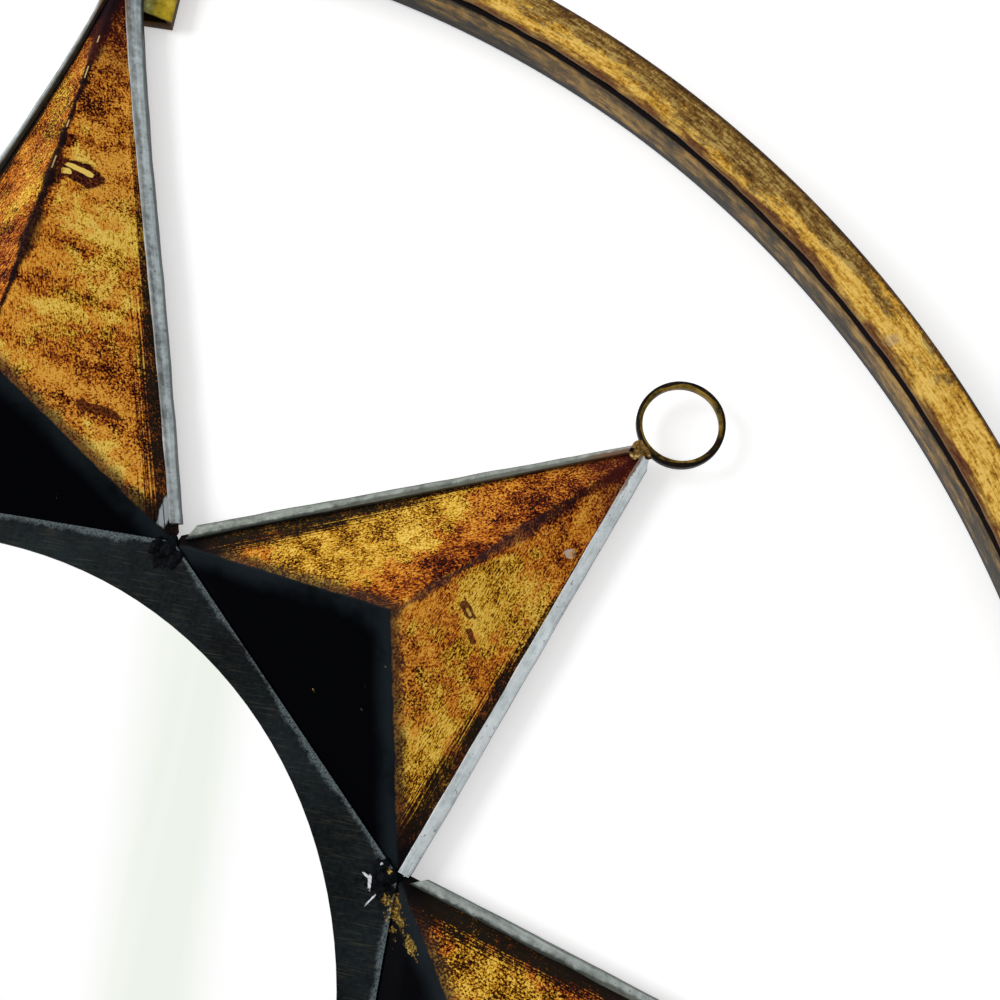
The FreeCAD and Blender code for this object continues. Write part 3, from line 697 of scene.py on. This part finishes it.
def modelRay(length):
    peak, left, right, tip = rayCorners(length)
    peakHigh = rayShape["peakHigh"] * mm
    bpy.ops.mesh.primitive_cone_add(
        vertices=3, radius1=footHalf * mm, radius2=0, depth=peakHigh, end_fill_type="NOTHING",
        rotation=(0, 0, math.radians(-90)))
    ray = bpy.context.object
    bpy.ops.object.transform_apply()
    beginEdit()
    base = -peakHigh / 4
    movePoint(lambda p: p.co.z > -base, peak)
    movePoint(lambda p: p.co.z < base and p.co.x > 0.01, tip)
    movePoint(lambda p: p.co.z < base and p.co.y > 0.001, left)
    movePoint(lambda p: p.co.z < base and p.co.y < -0.001, right)
    # lips: the outline drawn out by the same amount all round
    sides = ((left - right).length, (tip - left).length, (tip - right).length)
    middle = (tip * sides[0] + right * sides[1] + left * sides[2]) / sum(sides)
    inradius = (tip - left).cross(tip - right).length / sum(sides)
    grow = 1 + rayShape["lip"] * mm / inradius
    pick("EDGE", lambda e: e.is_boundary)
    bpy.ops.mesh.extrude_edges_move()
    bpy.ops.transform.resize(value=(grow, grow, 1), center_override=middle)
    pick("EDGE", lambda e: midpoint(e).z > peak.z * 0.55)
    bpy.ops.mesh.bevel(offset=rayShape["fold"] * mm, segments=3, affect="EDGES")
    cutAway(tip, (1, 0, 0))
    for side in (1, -1):
        wall = Vector((-math.sin(sector / 2), side * math.cos(sector / 2), 0))
        cutAway(-wall * rayShape["cornerGap"] * mm, wall)
    step = rayShape["cell"] * mm
    for axis, low, high in ((Vector((1, 0, 0)), left.x, tip.x), (Vector((0, 1, 0)), right.y, left.y)):
        for i in range(1, int((high - low) / step) + 1):
            cut(axis * (low + i * step), axis)
    faceOutward()
    endEdit()
    return ray


def hollowEdge(piece, length, side, depth):  # draws one long edge in, most at three quarters of its length
    for point in piece.data.vertices:
        share = min(max((point.co.x / mm - rayShape["foot"]) / length, 0), 1)
        half = footHalf * max(1 - share, 0.001) * mm
        pull = min(max(side * point.co.y / half, 0), 1) * rayShape["hollowPeak"] * share ** 3 * (1 - share)
        point.co.y -= side * depth * mm * pull


def lineGap(point, start, end):
    return (point - intersect_point_line(point, start, end)[0]).length


def rayAttributes(piece, length, seed):
    peak, left, right, tip = rayCorners(length)

    def sheetPlace(point):
        return (point.x - left.x, tip.x - point.x, seed)

    def sheetEdges(point):
        side = left if point.y > 0 else right
        fold = lineGap(point, peak, side)
        normal = (left - peak).cross(right - peak)
        behind = normal.dot(point - peak) / normal.length
        edgeNormal = (side - peak).cross(tip - peak)
        onFoot = abs(behind) < abs(edgeNormal.dot(point - peak)) / edgeNormal.length
        ridge = math.copysign(lineGap(point, peak, tip), point.y)
        return (lineGap(point, side, tip), ridge, -fold if onFoot else fold)

    writeAttribute(piece, "sheetPlace", sheetPlace)
    writeAttribute(piece, "sheetEdges", sheetEdges)


for kind, group in groups.items():
    model = modelRay(rayShape[kind])
    for place in group:
        piece = copyPiece(model, f"folded_ray_{place}")
        rayAttributes(piece, rayShape[kind], places.index(place) + 1.0)
        soil = rayShape["soil"].get(f"{place}_left", 0)
        leftTone = (chosen(rayShape["paintAndLight"], place, "left"), soil, 0)
        rightTone = (chosen(rayShape["paintAndLight"], place, "right"), 0, 0)
        writeAttribute(piece, "sheetPaintAndLight", lambda p: leftTone if p.y > 0 else rightTone)
        for (where, hand), depth in rayShape["hollow"].items():
            if where == place:
                hollowEdge(piece, rayShape[kind], hands[hand], depth)
        stand(piece, turns[place])
        addWobble(piece, dents, rayShape["dent"])
        addShell(piece, rayShape["sheet"])
        settle(piece, goldSheet, f"{kind}_ray_{place}")
    bpy.data.objects.remove(model)
print("rays made")


# Edge strips: a bar slotted for the ray's lip, with a sloping front, rounded edges and a slight wave

# Painted light in this table: the turn at which strips are painted lightest, a lit level set for one strip,
# and how dark each strip's inner side is painted (from 0.5 a painted reflection, darker on the inner half;
# at 1.0 also a near-black band)
stripShape = {"width": 3.6, "height": 3.7, "rim": 1.5, "back": 5.5, "floor": 0.7, "slot": 1.0, "wall": 1.0,
              "round": 0.9, "innerRound": 0.5, "cell": 3.0, "valley": 2.5, "clip": 1.2, "wave": 0.5,
              "waveSize": 9.0, "squareEnd": {"long": 4.3, "short": 0.4}, "litTurn": -20,
              "taper": {"right": (0.88, 0.9), "left": (1.0, 0.8), "top_right": (0.76, 1.24),
                        "top_left": (0.95, 0.6), "right_left": (0.8, 0.95),
                        "upper_right_left": (1.06, 0.62)},
              "innerDark": {"left": 1.0, "right": 0.5, "upper_right_right": 0.1}, "tone": {"top_left": 0.75}}
waves = makeWobble("waves", stripShape["waveSize"])


def modelStrip(kind, side, taper):
    length = rayShape[kind]
    width, height, rim, back = (stripShape[name] * mm for name in ("width", "height", "rim", "back"))
    reach = math.hypot(length, footHalf) * mm
    bpy.ops.mesh.primitive_cube_add(
        size=1, location=(reach / 2, side * width / 2, back + height / 2), scale=(reach, width, height))
    strip = bpy.context.object
    bpy.ops.object.transform_apply()
    beginEdit()
    top = back + height
    pick("VERT", lambda p: same(p.co.y, side * width) and same(p.co.z, top))
    bpy.ops.transform.translate(value=(0, 0, rim - height))
    floor = back + stripShape["floor"] * mm
    slot = stripShape["slot"] * mm
    for level in (floor, floor + slot):
        cut((0, 0, level), (0, 0, 1))

    def slotFace(q):
        middle = q.calc_center_median()
        return same(middle.y, 0) and floor < middle.z < floor + slot

    pick("FACE", slotFace)
    bpy.ops.mesh.extrude_region_move(
        TRANSFORM_OT_translate={"value": (0, side * (width - stripShape["wall"] * mm), 0)})
    for y, z, amount, steps in ((side * width, back + rim, "round", 4), (0.0, top, "innerRound", 3)):
        pick("EDGE", lambda e: same(midpoint(e).y, y) and same(midpoint(e).z, z))
        bpy.ops.mesh.bevel(offset=stripShape[amount] * mm, segments=steps, affect="EDGES")
    pick("EDGE", lambda e: abs(e.verts[0].co.x - e.verts[1].co.x) > reach / 2)
    bpy.ops.mesh.subdivide(number_cuts=int(reach / (stripShape["cell"] * mm)))
    if side < 0:
        cutAway((stripShape["squareEnd"][kind] * mm, 0, 0), (-1, 0, 0), True)
    faceOutward()
    endEdit()
    writeAttribute(strip, "stripPlace", lambda p: (p.x / reach, abs(p.y) / width, (p.z - back) / height))
    for point in strip.data.vertices:
        point.co.y *= taper[0] + (taper[1] - taper[0]) * point.co.x / reach
    lean = Matrix.Translation(Vector((rayShape["foot"], side * footHalf, 0)) * mm)
    bakePlace(strip, lean @ Matrix.Rotation(-side * math.atan2(footHalf, length), 4, "Z"))
    beginEdit()
    tip = Vector((rayShape["foot"] + length, 0, 0)) * mm
    cutAway(tip, (1, 0, 0), True)
    corner = tip + Vector((0, side * (stripShape["width"] - stripShape["clip"]), 0)) * mm
    cutAway(corner, (1, side, 0), True)
    if side > 0:
        wall = Vector((-math.sin(sector / 2), math.cos(sector / 2), 0))
        cutAway(-wall * stripShape["valley"] * mm, wall, True)
    endEdit()
    return strip


def stripLitTone(place, side):  # painted light: 1 on strips that face the lower right, painted lighter, 0 on those that face the upper left, painted duller
    facing = turns[place] + side * math.radians(90) - math.radians(stripShape["litTurn"])
    return 0.5 + 0.5 * math.cos(facing)


for kind, group in groups.items():
    for place, (hand, side) in itertools.product(group, hands.items()):
        piece = modelStrip(kind, side, chosen(stripShape["taper"], place, hand))
        piece.name = piece.data.name = f"zinc_strip_{place}_{hand}"
        # painted light: each strip takes a lit level by the way it faces, or a level set for it
        tone = stripShape["tone"].get(f"{place}_{hand}", stripLitTone(place, side))
        seed = places.index(place) + side / 4
        innerDark = chosen(stripShape["innerDark"], place, hand)
        writeAttribute(piece, "stripLitTone", lambda p: (tone, seed, innerDark))
        if (place, hand) in rayShape["hollow"]:
            hollowEdge(piece, rayShape[kind], side, rayShape["hollow"][place, hand])
        stand(piece, turns[place])
        addWobble(piece, waves, stripShape["wave"])
        settle(piece, dullZinc, f"edge_strip_{place}_{hand}", 50)
print("edge strips made")


# Hoop: the section of the rolled sheet drawn point by point, then spun

hoopShape = {
    "free": (296.3, 22.0),
    "path": [(308.7, 22.0), (308.7, 0.0), (298.5, 0.0), (295.8, 19.2), (299.8, 19.2)], "corner": 1.6,
    "sheet": 1.0, "steps": 480, "ragged": 0.22}


def modelHoop():
    bpy.ops.mesh.primitive_plane_add(size=mm)
    hoop = bpy.context.object
    hoop.name = hoop.data.name = "rolled_hoop"
    beginEdit()
    bpy.ops.mesh.select_mode(type="VERT")
    pickAll()
    bpy.ops.mesh.merge(type="CENTER")
    here = Vector((hoopShape["free"][0], -hoopShape["free"][1], 0)) * mm
    bpy.ops.transform.translate(value=here)
    for radius, height in hoopShape["path"]:
        there = Vector((radius, -height, 0)) * mm
        bpy.ops.mesh.extrude_vertices_move(TRANSFORM_OT_translate={"value": there - here})
        here = there
    pick("VERT", lambda p: len(p.link_edges) == 2)
    bpy.ops.mesh.bevel(offset=hoopShape["corner"] * mm, segments=5, affect="VERTICES")
    pickAll()
    bpy.ops.mesh.spin(steps=hoopShape["steps"], angle=2 * math.pi, center=(0, 0, 0), axis=(0, 1, 0))
    pickAll()
    bpy.ops.mesh.remove_doubles(threshold=0.00001)
    faceOutward()
    front = -hoopShape["free"][1] * mm
    inner = (hoopShape["free"][0] + 0.1) * mm
    pick("VERT", lambda p: same(p.co.y, front) and math.hypot(p.co.x, p.co.z) < inner)
    bpy.ops.transform.vertex_random(offset=hoopShape["ragged"] * mm, seed=4)
    endEdit()
    return hoop


hoop = modelHoop()
addShell(hoop, hoopShape["sheet"])
settle(hoop, hoopGold, "hoop")
print("hoop made")


# Tip rings: flat rings with rounded edges

ringShape = {
    "out": 246.5, "radius": 11.7, "wall": 1.8, "depth": 3.2, "back": 5.5, "soft": 0.75, "wave": 0.3,
    "waveSize": 11.0}
ringWaves = makeWobble("ringWaves", ringShape["waveSize"])


def modelRing():
    radius, wall, depth = (ringShape[name] * mm for name in ("radius", "wall", "depth"))
    bpy.ops.mesh.primitive_cylinder_add(vertices=128, radius=radius, depth=depth, end_fill_type="NOTHING")
    ring = bpy.context.object
    addShell(ring, ringShape["wall"])
    addSoft(ring, ringShape["soft"], 4)
    applyAll(ring)

    def ringPlace(point):  # 0 at the inner wall, 1 at the outer one
        return ((math.hypot(point.x, point.y) - radius + wall) / wall, 0, 0)

    writeAttribute(ring, "ringPlace", ringPlace)
    middle = Vector((ringShape["out"], 0, ringShape["back"] + ringShape["depth"] / 2)) * mm
    bakePlace(ring, Matrix.Translation(middle))
    return ring


model = modelRing()
for place in groups["short"]:
    piece = copyPiece(model, f"tube_ring_{place}")
    stand(piece, turns[place])
    addWobble(piece, ringWaves, ringShape["wave"])
    settle(piece, bronzeRing, f"tip_ring_{place}")
bpy.data.objects.remove(model)
print("tip rings made")


# Tie brackets: an open folded tray under a wider front sheet, whose inner edge is cut askew

bracketShape = {
    "start": 269.6, "length": 28.4, "width": 22.0, "shift": 5.3, "overhang": 0.9, "height": 5.5,
    "sheet": 1.0, "slit": 1.5, "skew": (0.2, 5.0), "soft": 0.25}


def addBlock(low, high):  # a box between two corners in millimetres
    size = Vector(high) - Vector(low)
    bpy.ops.mesh.primitive_cube_add(size=1, location=(Vector(high) + Vector(low)) / 2 * mm, scale=size * mm)
    bpy.ops.object.transform_apply()
    return bpy.context.object


def modelBracket():
    start, sheet = bracketShape["start"], bracketShape["sheet"]
    end = start + bracketShape["length"]
    inside = bracketShape["height"] - sheet
    right = -bracketShape["shift"] - bracketShape["width"] / 2
    left = right + bracketShape["width"]
    overhang = bracketShape["overhang"]
    tray = addBlock((start, right + overhang, 0), (end, left - overhang, inside))
    beginEdit()
    slit = (inside - bracketShape["slit"]) * mm
    cut((0, 0, slit), (0, 0, 1))

    def openFace(q):  # the front of the tray, and its inner end above the slit's lower edge
        middle = q.calc_center_median()
        return middle.z > inside * mm - 1e-6 or (middle.x < start * mm + 1e-6 and middle.z > slit)

    pick("FACE", openFace)
    bpy.ops.mesh.delete(type="FACE")
    endEdit()
    addShell(tray, sheet)
    applyAll(tray)
    front = addBlock((start, right, inside), (end, left, bracketShape["height"]))
    beginEdit()
    for y, move in ((right, -bracketShape["skew"][0]), (left, bracketShape["skew"][1])):
        pick("VERT", lambda p: p.co.x < start * mm + 1e-6 and same(p.co.y, y * mm))
        bpy.ops.transform.translate(value=(move * mm, 0, 0))
    endEdit()
    tray.select_set(True)
    bpy.ops.object.join()
    bracket = bpy.context.object
    addSoft(bracket, bracketShape["soft"], 2)
    applyAll(bracket)
    middle, half = (left + right) / 2 * mm, bracketShape["width"] / 2 * mm

    def bracketPlace(point):  # across from right to left, up from the back, and 1 at the tray's long sides
        across = (point.y - middle) / half
        return (across, point.z / (bracketShape["height"] * mm), 1 if abs(across) > 0.8 else 0)

    writeAttribute(bracket, "bracketPlace", bracketPlace)
    return bracket


model = modelBracket()
for place in groups["long"]:
    piece = copyPiece(model, f"folded_bracket_{place}")
    stand(piece, turns[place])
    settle(piece, bracketGold, f"tie_bracket_{place}")
bpy.data.objects.remove(model)
print("tie brackets made")


# Hanger strap: a flat bar with a hole across the back of the top ray, its ends tucked under the strips

strapShape = {
    "middle": 205.1, "width": 14.0, "back": 4.0, "front": 5.5, "start": 1.0, "tuck": 0.4, "hole": 4.0,
    "soft": 0.25}


def modelStrap():
    middle, half, start = strapShape["middle"], strapShape["width"] / 2, strapShape["start"]
    back, front = strapShape["back"], strapShape["front"]
    strap = addBlock((middle - half, -start, back), (middle + half, start, front))
    strap.name = strap.data.name = "flat_strap"
    beginEdit()
    for end, side in itertools.product((-1, 1), (-1, 1)):
        reach = (rayShape["foot"] + rayShape["long"] - middle - end * half) * footHalf / rayShape["long"]
        pick("VERT", lambda p: (p.co.x - middle * mm) * end > 0 and p.co.y * side > 0)
        bpy.ops.transform.translate(value=(0, side * (reach - strapShape["tuck"] - start) * mm, 0))
    endEdit()
    bpy.ops.mesh.primitive_cylinder_add(
        vertices=48, radius=strapShape["hole"] * mm, depth=2 * front * mm,
        location=(middle * mm, 0, back * mm))
    punch = bpy.context.object
    addModifier(strap, "BOOLEAN", object=punch)
    addSoft(strap, strapShape["soft"], 2)
    applyAll(strap)
    bpy.data.objects.remove(punch)
    return strap


strap = modelStrap()
stand(strap, turns["top"])
strapSteel = sheetFinish("strap_steel", (0.2, 0.2, 0.21), (0.42, 0.43, 0.44), 0.4, 0.6, 150.0)
settle(strap, strapSteel, "hanger_strap")
print("hanger strap made")


# Welds: lumps of uneven balls pressed together

weldShape = {"valley": [((128.0, 0.4, 7.3), (4.6, 4.6, 0.9)), ((130.2, 0.2, 7.4), (3.8, 2.2, 1.2)),
                        ((128.6, -3.0, 7.4), (3.0, 2.0, 1.1)), ((129.0, 3.0, 7.4), (2.8, 2.0, 1.1))],
             "ring": [((233.0, 0.6, 8.5), (2.6, 1.9, 0.8)), ((234.6, -0.5, 8.0), (1.3, 2.6, 1.3)),
                      ((233.8, 1.8, 8.3), (1.5, 1.2, 0.9))],
             "lump": 1.0, "lumpSize": 1.5}
lumps = makeWobble("lumps", weldShape["lumpSize"])


def modelLumps(kind):
    balls = []
    for middle, size in weldShape[kind]:
        bpy.ops.mesh.primitive_ico_sphere_add(subdivisions=4, radius=mm)
        ball = bpy.context.object
        bakePlace(ball, Matrix.Translation(Vector(middle) * mm) @ Matrix.Diagonal((*size, 1)))
        balls.append(ball)
    selectOnly(*reversed(balls))
    bpy.ops.object.join()
    return bpy.context.object


def spreadLumps(kind, name, spins, finish, replaced):
    model = modelLumps(kind)
    copies = []
    for i, spin in enumerate(spins):
        piece = copyPiece(model, f"{name}_{i}")
        stand(piece, spin)
        copies.append(piece)
    selectOnly(*copies)
    bpy.ops.object.join()
    group = copies[0]
    group.name = group.data.name = name
    addWobble(group, lumps, weldShape["lump"])
    settle(group, finish, replaced, 60)
    bpy.data.objects.remove(model)


valleySpins = [turn + sector / 2 for turn in turns.values()]
ringSpins = [turns[place] for place in groups["short"]]
spreadLumps("valley", "valley_lumps", valleySpins, weldBlack, "valley_welds")
spreadLumps("ring", "ring_lumps", ringSpins, weldGold, "ring_welds")
print("welds made")


# Plain pieces keep their CAD shape and get their finish

keptFinishes = {
    "centre_plate": plateFinish(), "mirror_glass": mirrorFinish(),
    "back_pan": sheetFinish("pan_black", (0.012, 0.012, 0.013), (0.035, 0.035, 0.036), 0.55, 0.0),
    "card_pad": sheetFinish("grey_card", (0.3, 0.22, 0.14), (0.46, 0.36, 0.25), 0.85, 0.0, 200.0), }
for name, finish in keptFinishes.items():
    dress(nodes[name], finish)
print("kept nodes finished")


# Stage: a white board just behind the object, open from behind, with soft light from the upper left

stage = {"board": 6.0, "boardGap": 0.0004, "boardWhite": 0.97, "boardGlow": 0.41, "sky": 0.5,
         "keyPower": 55.0, "keySize": 1.8, "keyPlace": (-2.3, -2.0, 0.4)}


def seenDirectly(f):  # 1 for what the camera, gloss and glass show, 0 for light that falls on the object
    kinds = ("Is Camera Ray", "Is Glossy Ray", "Is Transmission Ray")
    return f.fade(sum(f.node("ShaderNodeLightPath", {}, kind) for kind in kinds), 0.0, 1.0)


def makeBoard():
    bpy.ops.mesh.primitive_plane_add(
        size=stage["board"], location=(0, stage["boardGap"], 0), rotation=(math.radians(90), 0, 0))
    board = bpy.context.object
    board.name = board.data.name = "white_board"
    bpy.ops.object.transform_apply()
    f = Finish("white_board")
    behind = f.node("ShaderNodeNewGeometry", {}, "Backfacing")
    shadow = f.node("ShaderNodeLightPath", {}, "Is Shadow Ray")
    through = f.maths("MAXIMUM", behind, shadow)
    white = f.node("ShaderNodeBsdfDiffuse", {"Color": (*[stage["boardWhite"]] * 3, 1)})
    glow = f.node("ShaderNodeEmission", {"Strength": seenDirectly(f) * stage["boardGlow"]})
    paper = f.node("ShaderNodeAddShader", {0: white, 1: glow})
    clear = f.node("ShaderNodeBsdfTransparent", {})
    surface = f.node("ShaderNodeMixShader", {0: through, 1: paper, 2: clear})
    f.node("ShaderNodeOutputMaterial", {"Surface": surface})
    board.data.materials.append(f.material)


def makeSky():
    world = bpy.data.worlds.new("soft_sky")
    bpy.context.scene.world = world
    world.use_nodes = True
    f = Finish("soft_sky", world.node_tree)
    strength = stage["sky"] + seenDirectly(f) * (1 - stage["sky"])
    glow = f.node("ShaderNodeBackground", {"Color": (1, 1, 1, 1), "Strength": strength})
    f.node("ShaderNodeOutputWorld", {"Surface": glow})


def addHolder(name, data):
    holder = bpy.data.objects.new(name, data)
    bpy.context.scene.collection.objects.link(holder)
    return holder


def makeLamp():
    lamp = bpy.data.lights.new("key", "AREA")
    lamp.energy = stage["keyPower"]
    lamp.size = stage["keySize"]
    holder = addHolder("key", lamp)
    holder.location = stage["keyPlace"]
    holder.rotation_mode = "QUATERNION"
    holder.rotation_quaternion = (-Vector(stage["keyPlace"])).to_track_quat("-Z", "Y")


# Place in metres, turns in radians and lens in millimetres, fitted to the edges of the object
view = {"place": (0.1487, -0.3549, 0.0654), "roll": math.radians(9.534), "pan": 0.0108, "tilt": 0.2349,
        "sensor_width": 36.0, "lens": 50.0, "clip_start": 0.01}


def makeCamera():
    lens = bpy.data.cameras.new("photo_view")
    for name in ("sensor_width", "lens", "clip_start"):
        setattr(lens, name, view[name])
    holder = addHolder("photo_view", lens)
    look = Matrix.Rotation(math.radians(90), 4, "X") @ Matrix.Rotation(view["roll"], 4, "Z")
    look = look @ Matrix.Rotation(view["pan"], 4, "Y") @ Matrix.Rotation(view["tilt"], 4, "X")
    holder.matrix_world = Matrix.Translation(view["place"]) @ look
    bpy.context.scene.camera = holder


makeBoard()
makeSky()
makeLamp()
makeCamera()
bpy.context.scene.view_settings.view_transform = "Standard"
print("stage made")
